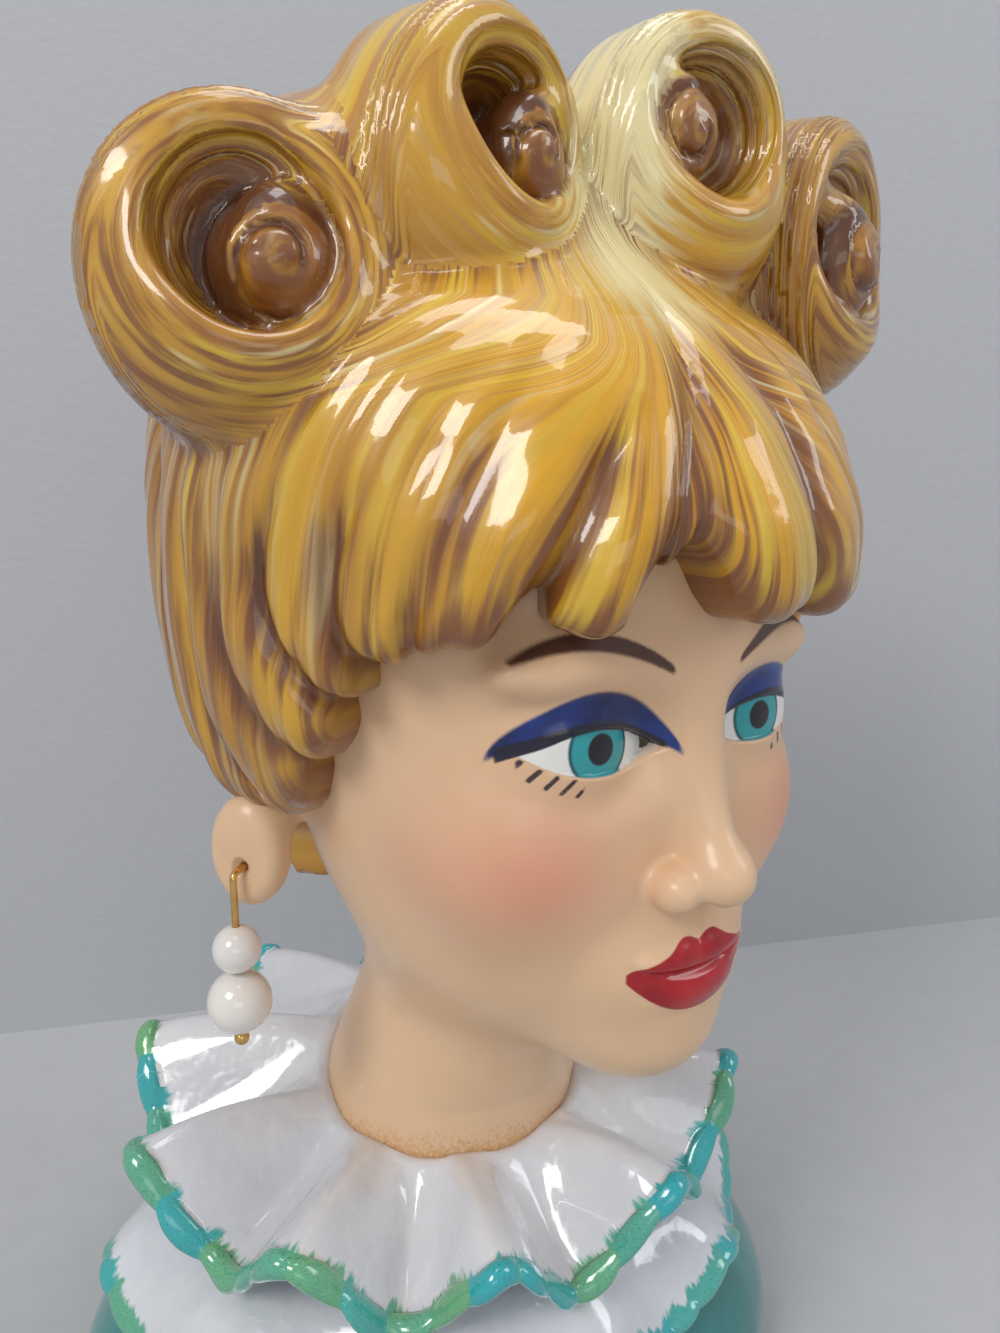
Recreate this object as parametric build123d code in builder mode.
from build123d import *
from math import cos, sin, pi, radians, exp
import os

# Master sizes of the vase.
base_width = 108
head_height = 86

# Walls, seams and small fits of the pottery.
wall = 3.6
floor = 5
seam = 0.12
overrun = 2

# Applied frills.
frill = 1.5
bead = 1.7
upper_wave = 5.4
lower_wave = 2.2
collar_band = 5.2
collar_gap = 1.1

# Rolled locks of hair, and the grooves carved between the combed ones.
strip = 2.1
lip = 2.4
lock_groove = 1.3
lock_count = 24

# Earrings: brass wire through a pierced lobe, with two threaded pearls.
wire_radius = 0.45
running_gap = 0.06
rest_gap = 0.05
lobe_thickness = 5
pierce_cone = 0.7
hook_reach = 4.2
tail_reach = 1.3
tail_drop = 4
bend = 1
small_pearl = 3
large_pearl = 4
pearl_drop = 9.8
stop_radius = 0.95

# Turn and openings, in degrees.
head_turn = 18
lobe_turn = 35
frill_turns = 10
frill_phase = 3
parting_turn = -8

head_shares = [
    (-0.500, -0.256, 0.116, 0.105),
    (-0.442, -0.203, 0.203, 0.192),
    (-0.360, -0.105, 0.267, 0.300),
    (-0.256, -0.058, 0.320, 0.349),
    (-0.140, -0.012, 0.355, 0.401),
    (-0.012, 0.012, 0.376, 0.424),
    (0.128, 0.023, 0.384, 0.448),
    (0.256, 0.041, 0.372, 0.448),
    (0.384, 0.047, 0.343, 0.413),
]
neck_shares = [
    (-0.814, 0.000, 0.227),
    (-0.656, 0.260, 0.215),
    (-0.498, 0.680, 0.213),
    (-0.340, 1.000, 0.225),
]
hair_shares = [
    (-0.395, 0.200, 0.280, 0.230),
    (-0.261, 0.145, 0.395, 0.365),
    (-0.127, 0.105, 0.455, 0.455),
    (0.008, 0.072, 0.500, 0.530),
    (0.142, 0.050, 0.520, 0.572),
    (0.277, 0.050, 0.518, 0.578),
    (0.411, 0.064, 0.500, 0.540),
    (0.545, 0.090, 0.470, 0.475),
    (0.679, 0.140, 0.420, 0.385),
    (0.814, 0.170, 0.325, 0.300),
]
mouth_shares = [
    (0.384, 0.047, 0.267, 0.326),
    (0.640, 0.174, 0.233, 0.233),
    (0.814, 0.221, 0.215, 0.205),
]
hairline_shares = [
    (-0.900, 0.185), (-0.350, 0.195), (-0.240, 0.180), (-0.150, 0.085), (-0.080, -0.060), (-0.030, -0.110),
    (0.060, -0.116), (0.130, -0.135), (0.180, -0.210), (0.205, -0.310), (0.212, -0.450), (0.215, -0.800),
]
comb_hub_share = 0.058
mass_shares = [
    (-0.157, -0.085, 0.660, 0.178),
    (0.157, -0.110, 0.690, 0.178),
    (-0.430, -0.040, 0.530, 0.176),
    (0.465, -0.140, 0.610, 0.176),
    (-0.310, -0.020, 0.640, 0.160),
    (0.320, -0.060, 0.690, 0.155),
]
nose_shares = [
    (0.050, -0.393, 0.035, 0.030),
    (-0.029, -0.401, 0.040, 0.038),
    (-0.093, -0.414, 0.049, 0.050),
    (-0.157, -0.421, 0.058, 0.060),
    (-0.221, -0.409, 0.049, 0.040),
]
dress_shares = [
    (0.000, 0.463, 0.366), (0.093, 0.500, 0.398), (0.167, 0.454, 0.352), (0.231, 0.389, 0.306), (0.287, 0.338, 0.276),
]
front_curl_shares = [(0.02, 0.88), (0.20, 0.98), (0.50, 1.00), (0.80, 0.86), (1.00, 0.50)]
side_curl_shares = [(0.02, 0.90), (0.20, 1.00), (0.50, 1.00), (0.80, 0.84), (1.00, 0.50)]

neck_radius = head_height * neck_shares[0][2]
shoulder_height = base_width * dress_shares[-1][0]
seat_height = shoulder_height + base_width * 0.083
seat_radius = neck_radius + collar_band
riser_radius = seat_radius + collar_band * 0.5
head_frame = Plane(
    origin=(head_height * 0.108, -head_height * 0.105, seat_height - head_height * neck_shares[0][0]),
    x_dir=(cos(radians(head_turn)), sin(radians(head_turn)), 0),
    z_dir=(0, 0, 1),
)
lift = head_frame.origin.Z


def oval(plane, height, shift, half_width, half_depth, sideways=0):
    turns = [2 * pi * step / 16 for step in range(16)]
    with BuildSketch(plane.offset(height)) as ring:
        with BuildLine():
            Spline(*[(sideways + half_width * sin(t), shift - half_depth * cos(t)) for t in turns], periodic=True)
        make_face()
    return ring.sketch


def ovals(plane, shares, scale, grow=0):
    return [oval(plane, z * scale, y * scale, rx * scale + grow, ry * scale + grow) for z, y, rx, ry in shares]


def neck_rings(grow=0):
    rings = []
    for z, lean, r in neck_shares:
        x, y = head_frame.origin.X * lean, head_frame.origin.Y * lean
        rings.append(oval(Plane.XY, lift + z * head_height, y, r * head_height + grow, r * head_height + grow, x))
    return rings


def spot(x, y, z):
    return head_frame.from_local_coords(Vector(x, y, z) * head_height)


def spindle(x, y, z, half_length, radius):
    with BuildPart() as piece:
        with BuildSketch(Plane(origin=spot(x, y, z), x_dir=head_frame.x_dir, z_dir=head_frame.z_dir)):
            with BuildLine():
                arc = EllipticalCenterArc((0, 0), half_length * head_height, radius * head_height, 0, arc_size=180)
                Line(arc @ 0, arc @ 1)
            make_face()
        revolve(axis=Axis(spot(x, y, z), head_frame.x_dir))
    return piece.part


def lobe_plane(side):
    turn = radians(lobe_turn)
    origin = spot(side * 0.424, 0.064, -0.221)
    out = head_frame.from_local_coords(Vector(side * cos(turn), -sin(turn), 0)) - head_frame.origin
    return Plane(origin=origin, x_dir=Vector(0, 0, 1).cross(out), z_dir=out)


def lobe(side):
    plate = lobe_plane(side)
    with BuildPart() as piece:
        with BuildSketch(plate.offset(-lobe_thickness / 2)):
            with Locations((0, head_height * 0.018)):
                Ellipse(head_height * 0.058, head_height * 0.082)
        extrude(amount=lobe_thickness)
        fillet(piece.edges(), lobe_thickness * 0.4)
        root = Plane(origin=spot(side * 0.424, 0.070, -0.156), x_dir=head_frame.y_dir, z_dir=head_frame.x_dir * -side)
        with BuildSketch(root):
            Circle(head_height * 0.034)
        extrude(amount=head_height * 0.12)
    return piece.part


def pierce(side):
    bore = wire_radius + running_gap
    plate = lobe_plane(side)
    with BuildPart() as piece:
        with BuildSketch(plate.offset(-lobe_thickness / 2 - overrun / 2)):
            Circle(bore)
        extrude(amount=lobe_thickness + overrun)
        for face in (1, -1):
            with BuildSketch(plate.offset(face * (lobe_thickness / 2 - pierce_cone))):
                Circle(bore)
            with BuildSketch(plate.offset(face * (lobe_thickness / 2 + pierce_cone / 2))):
                Circle(bore + pierce_cone * 1.5)
            loft()
    return piece.part


with BuildPart() as dress_base:
    loft(sections=[oval(Plane.XY, z * base_width, 0, rx * base_width, ry * base_width) for z, rx, ry in dress_shares])
    loft(sections=[
        oval(Plane.XY, shoulder_height, 0, riser_radius, riser_radius),
        oval(Plane.XY, seat_height, 0, seat_radius, seat_radius),
    ])
    hollow = [oval(Plane.XY, floor, 0, dress_shares[0][1] * base_width - wall, dress_shares[0][2] * base_width - wall)]
    for z, rx, ry in dress_shares[1:-1]:
        hollow.append(oval(Plane.XY, z * base_width, 0, rx * base_width - wall, ry * base_width - wall))
    rim_width, rim_depth = base_width * 0.270, base_width * 0.215
    hollow.append(oval(Plane.XY, shoulder_height - wall, 0, rim_width, rim_depth))
    loft(sections=hollow, mode=Mode.SUBTRACT)
    with BuildSketch(Plane.XY.offset(shoulder_height - wall * 2)):
        Circle(neck_radius - wall)
    extrude(amount=wall * 2 + base_width * 0.083 + overrun, mode=Mode.SUBTRACT)

with BuildPart() as face_and_neck:
    loft(sections=ovals(head_frame, head_shares, head_height))
    loft(sections=neck_rings())
    loft(sections=ovals(head_frame, nose_shares, head_height))
    for side in (-1, 1):
        with Locations(spot(side * 0.048, -0.412, -0.200)):
            Sphere(head_height * 0.030)
        with Locations(spot(side * 0.150, -0.301, -0.006)):
            Sphere(head_height * 0.084)
        add(spindle(side * 0.150, -0.364, 0.034, 0.080, 0.027))
        add(spindle(side * 0.150, -0.366, -0.056, 0.070, 0.015))
        add(lobe(side))
    with Locations(spot(0, -0.314, -0.425)):
        Sphere(head_height * 0.098)
    add(spindle(0, -0.396, -0.290, 0.090, 0.026))
    add(spindle(0, -0.390, -0.330, 0.072, 0.031))
    cavity = [(z, y, rx - wall / head_height, ry - wall / head_height) for z, y, rx, ry in head_shares[2:]]
    cavity[-1] = (cavity[-1][0] + overrun / head_height,) + cavity[-1][1:]
    loft(sections=ovals(head_frame, cavity, head_height), mode=Mode.SUBTRACT)
    bore = [oval(Plane.XY, seat_height - overrun, 0, neck_radius - wall, neck_radius - wall)]
    loft(sections=bore + neck_rings(-wall), mode=Mode.SUBTRACT)
    for side in (-1, 1):
        add(pierce(side), mode=Mode.SUBTRACT)


def curl_plane(x, y, z, outward, downward):
    out = head_frame.x_dir * outward - head_frame.y_dir - head_frame.z_dir * downward
    return Plane(origin=spot(x, y, z), x_dir=head_frame.z_dir.cross(out), z_dir=out)


def roll_blank(plane, shares, radius, length, grow=0):
    with BuildPart() as blank:
        with BuildSketch(Plane(origin=plane.origin, x_dir=plane.x_dir, z_dir=-plane.y_dir)):
            with BuildLine():
                points = [(radius * r + grow, -length * d) for d, r in shares]
                Spline(*points)
                Polyline(points[0], (points[0][0], grow and overrun * 2), (0, grow and overrun * 2),
                         (0, -length), points[-1])
            make_face()
        revolve(axis=Axis(plane.origin, plane.z_dir))
    return blank.part


def spiral(plane, radius, turns, start):
    count = 14
    outer = []
    inner = []
    for step in range(count + 1):
        share = step / count
        angle = start + 2 * pi * turns * share
        reach = radius - (radius - strip * 1.2) * share
        outer.append((reach * cos(angle), reach * sin(angle)))
        inner.append(((reach - strip) * cos(angle), (reach - strip) * sin(angle)))
    with BuildSketch(plane) as band:
        with BuildLine():
            Spline(*outer)
            Spline(*inner)
            Line(outer[0], inner[0])
            Line(outer[-1], inner[-1])
        make_face()
    return band.sketch


def rolled_lock(plane, shares, radius, length, turns, start, core):
    cup = radius * 0.60
    depth = length * 0.62
    brim = radius * shares[0][1]
    with BuildPart() as curl:
        with BuildSketch(Plane(origin=plane.origin, x_dir=plane.x_dir, z_dir=-plane.y_dir)):
            with BuildLine():
                points = [(radius * r, -length * d) for d, r in shares]
                Spline(*points)
                ThreePointArc(points[0], ((brim + cup) / 2, lip * 0.6), (cup, -lip * 0.4))
                Polyline((cup, -lip * 0.4), (cup * 0.9, -depth), (0, -depth), (0, -length), points[-1])
            make_face()
        revolve(axis=Axis(plane.origin, plane.z_dir))
        extrude(spiral(plane.offset(-depth), cup, turns, start), amount=depth - lip * 1.5)
        if core:
            with Locations(plane.offset(-depth * 0.75).origin):
                Sphere(core)
    return curl


front_radius = head_height * 0.158
front_length = head_height * 0.225
side_radius = head_height * 0.186
side_length = head_height * 0.255
front_planes = [curl_plane(-0.157, -0.204, 0.738, 0.12, 0.06), curl_plane(0.157, -0.244, 0.785, -0.12, 0.06)]
side_planes = [curl_plane(-0.465, -0.116, 0.581, -0.30, 0.04), curl_plane(0.506, -0.221, 0.692, 0.30, 0.04)]

curl_front_right = rolled_lock(front_planes[0], front_curl_shares, front_radius, front_length, 1.35, 0.4, 0)
curl_front_left = rolled_lock(front_planes[1], front_curl_shares, front_radius, front_length, -1.35, 2.7, 0)

with BuildPart() as curl_side_right:
    add(rolled_lock(side_planes[0], side_curl_shares, side_radius, side_length, 1.0, 1.2, side_radius * 0.36).part)
    add(roll_blank(front_planes[0], front_curl_shares, front_radius, front_length, seam), mode=Mode.SUBTRACT)

with BuildPart() as curl_side_left:
    add(rolled_lock(side_planes[1], side_curl_shares, side_radius, side_length, -1.0, 1.9, side_radius * 0.36).part)
    add(roll_blank(front_planes[1], front_curl_shares, front_radius, front_length, seam), mode=Mode.SUBTRACT)

def combed(across, fall):
    """The angle from the parting, in degrees, of the strand that ends up at across, once it has come down by fall."""
    turned = across
    for _ in range(40):
        settling = head_height * (0.140 + 0.488 * exp(-((turned / 20) ** 2)))
        turned = (turned + across * (1 - 0.985 * exp(-fall / settling))) / 2
    return turned


def groove_cut(across):
    """A notch that follows one gap between combed locks, down from below the parting to the nape."""
    cuts = []
    step = 360 / lock_count
    for z, shift, half_width, half_depth in hair_shares[1:7]:
        fall = head_height * (0.663 - z)
        angle = radians(combed(across, fall) + parting_turn)
        gap = combed(across + step / 2, fall) - combed(across - step / 2, fall)
        deep = lock_groove * min(1, max(0.2, abs(gap) / step))
        hub = comb_hub_share - shift
        a = (sin(angle) / half_width) ** 2 + (cos(angle) / half_depth) ** 2
        b = -hub * cos(angle) / half_depth ** 2
        c = (hub / half_depth) ** 2 - 1
        reach = head_height * (-b + (b * b - a * c) ** 0.5) / a
        out = Vector(sin(angle), -cos(angle))
        along = Vector(cos(angle), sin(angle))
        skin = Vector(0, comb_hub_share * head_height) + out * reach
        corners = [skin - out * deep, skin + out * deep + along * deep * 2, skin + out * deep - along * deep * 2]
        with BuildSketch(head_frame.offset(z * head_height)) as notch:
            with BuildLine():
                Polyline(*[(corner.X, corner.Y) for corner in corners], close=True)
            make_face()
        cuts.append(notch.sketch)
    with BuildPart() as piece:
        loft(sections=cuts[::-1])
    return piece.part


with BuildPart() as hair_cap:
    loft(sections=ovals(head_frame, hair_shares, head_height))
    add([groove_cut((lock - lock_count / 2 + 1) * 360 / lock_count) for lock in range(lock_count)],
        mode=Mode.SUBTRACT)
    for x, y, z, reach in mass_shares:
        with Locations(spot(x, y, z)):
            Sphere(reach * head_height)
    inside = list(head_shares[:-1]) + [head_shares[-1]]
    loft(sections=ovals(head_frame, inside, head_height, seam), mode=Mode.SUBTRACT)
    loft(sections=neck_rings(seam), mode=Mode.SUBTRACT)
    throat = [(mouth_shares[0][0] - overrun / head_height,) + mouth_shares[0][1:]] + list(mouth_shares[1:-1])
    throat.append((mouth_shares[-1][0] + overrun / head_height,) + mouth_shares[-1][1:])
    loft(sections=ovals(head_frame, throat, head_height), mode=Mode.SUBTRACT)
    profile = Plane(origin=head_frame.origin, x_dir=head_frame.y_dir, z_dir=head_frame.x_dir)
    with BuildSketch(profile):
        with BuildLine():
            edge = [(y * head_height, z * head_height) for y, z in hairline_shares]
            Spline(*edge)
            Polyline(edge[0], (edge[0][0], edge[-1][1]), edge[-1])
        make_face()
    extrude(amount=head_height, both=True, mode=Mode.SUBTRACT)
    for plane in front_planes:
        add(roll_blank(plane, front_curl_shares, front_radius, front_length, seam), mode=Mode.SUBTRACT)
    for plane in side_planes:
        add(roll_blank(plane, side_curl_shares, side_radius, side_length, seam), mode=Mode.SUBTRACT)


def frill_half(section, first):
    stations = [section(first + 180 * step / 36) for step in range(37)]
    faces = []
    for angle, points in stations:
        turn = radians(angle)
        radial = Plane(origin=(0, 0, 0), x_dir=(sin(turn), -cos(turn), 0), z_dir=(-cos(turn), -sin(turn), 0))
        with BuildSketch(radial) as cut:
            with BuildLine():
                Polyline(*points, close=True)
            make_face()
        faces.append(cut.sketch)
    return loft(sections=faces, mode=Mode.PRIVATE)


def upper_section(angle):
    turn = radians(angle)
    wave = cos(radians(frill_turns * (angle + frill_phase)))
    back = (1 - cos(turn)) / 2
    side = sin(turn) ** 2
    crest = seat_height + base_width * (0.060 + 0.110 * back ** 1.5)
    hem = seat_height + base_width * (0.004 + 0.035 * side + 0.060 * back ** 2) + upper_wave * wave
    reach = base_width * (0.352 + 0.048 * side + 0.020 * wave)
    lean = (crest - seat_height) / (head_height * 0.28)
    shift = lean * (head_frame.origin.X * sin(turn) - head_frame.origin.Y * cos(turn))
    inner = neck_radius + collar_gap + max(0, shift)
    middle = (inner + reach) * 0.52
    sag = crest * 0.42 + hem * 0.58 + upper_wave * wave * 0.25
    return angle, [
        (neck_radius + seam, seat_height),
        (seat_radius, seat_height),
        (middle, sag - frill),
        (reach - bead * 0.7, hem - bead),
        (reach + bead * 0.6, hem - bead * 0.5),
        (reach + bead * 0.6, hem + bead * 0.5),
        (reach - bead * 0.7, hem + bead),
        (middle, sag + frill),
        (inner + frill * 1.6, crest),
        (inner, crest - frill * 0.5),
    ]


with BuildPart() as ruffle_upper:
    add(frill_half(upper_section, 0))
    add(frill_half(upper_section, 180))


def lower_section(angle):
    turn = radians(angle)
    wave = cos(radians(frill_turns * (angle + frill_phase) + 150))
    radius = ((sin(turn) / (base_width * 0.405)) ** 2 + (cos(turn) / (base_width * 0.320)) ** 2) ** -0.5
    ledge = ((sin(turn) / (base_width * 0.338)) ** 2 + (cos(turn) / (base_width * 0.276)) ** 2) ** -0.5
    hem = shoulder_height - base_width * 0.066 + lower_wave * wave
    reach = radius + base_width * 0.044 + lower_wave * 0.5 * wave
    middle = ledge + base_width * 0.030
    return angle, [
        (riser_radius + seam, shoulder_height),
        (ledge - frill * 0.2, shoulder_height),
        (middle, shoulder_height - frill * 0.4),
        (reach - bead * 0.5, hem - bead * 0.8),
        (reach + bead * 0.6, hem - bead * 0.4),
        (reach + bead * 0.5, hem + bead * 0.8),
        (middle, shoulder_height + frill * 1.4),
        (riser_radius + seam, shoulder_height + frill * 1.6),
    ]


with BuildPart() as ruffle_lower:
    add(frill_half(lower_section, 0))
    add(frill_half(lower_section, 180))


def ear_wire(side):
    plate = lobe_plane(side)
    outer = plate.origin + plate.z_dir * hook_reach
    inner = plate.origin - plate.z_dir * (lobe_thickness / 2 + tail_reach)
    foot = outer - Vector(0, 0, pearl_drop + small_pearl + 2 * large_pearl + 2 * rest_gap + stop_radius)
    tip = inner - Vector(0, 0, tail_drop)
    with BuildPart() as wire:
        with BuildLine() as path:
            FilletPolyline(foot, outer, inner, tip, radius=bend)
        with BuildSketch(Plane(origin=foot, z_dir=(0, 0, 1))):
            Circle(wire_radius)
        sweep()
        with Locations(foot):
            Sphere(stop_radius)
        with Locations(tip):
            Sphere(wire_radius * 1.3)
    return wire


def pearl(side, drop, radius):
    plate = lobe_plane(side)
    centre = plate.origin + plate.z_dir * hook_reach - Vector(0, 0, drop)
    with BuildPart() as ball:
        with Locations(centre):
            Sphere(radius)
            Cylinder(wire_radius + running_gap, radius * 2 + overrun, mode=Mode.SUBTRACT)
    return ball


large_drop = pearl_drop + small_pearl + large_pearl + rest_gap
ear_wire_right = ear_wire(-1)
pearl_small_right = pearl(-1, pearl_drop, small_pearl)
pearl_large_right = pearl(-1, large_drop, large_pearl)
ear_wire_left = ear_wire(1)
pearl_small_left = pearl(1, pearl_drop, small_pearl)
pearl_large_left = pearl(1, large_drop, large_pearl)

pieces = {
    "dress_base": dress_base,
    "face_and_neck": face_and_neck,
    "hair_cap": hair_cap,
    "curl_front_right": curl_front_right,
    "curl_front_left": curl_front_left,
    "curl_side_right": curl_side_right,
    "curl_side_left": curl_side_left,
    "ruffle_upper": ruffle_upper,
    "ruffle_lower": ruffle_lower,
    "ear_wire_right": ear_wire_right,
    "pearl_small_right": pearl_small_right,
    "pearl_large_right": pearl_large_right,
    "ear_wire_left": ear_wire_left,
    "pearl_small_left": pearl_small_left,
    "pearl_large_left": pearl_large_left,
}
os.makedirs("parts", exist_ok=True)
for name, piece in pieces.items():
    piece.part.label = name
    export_step(piece.part, "parts/" + name + ".step")
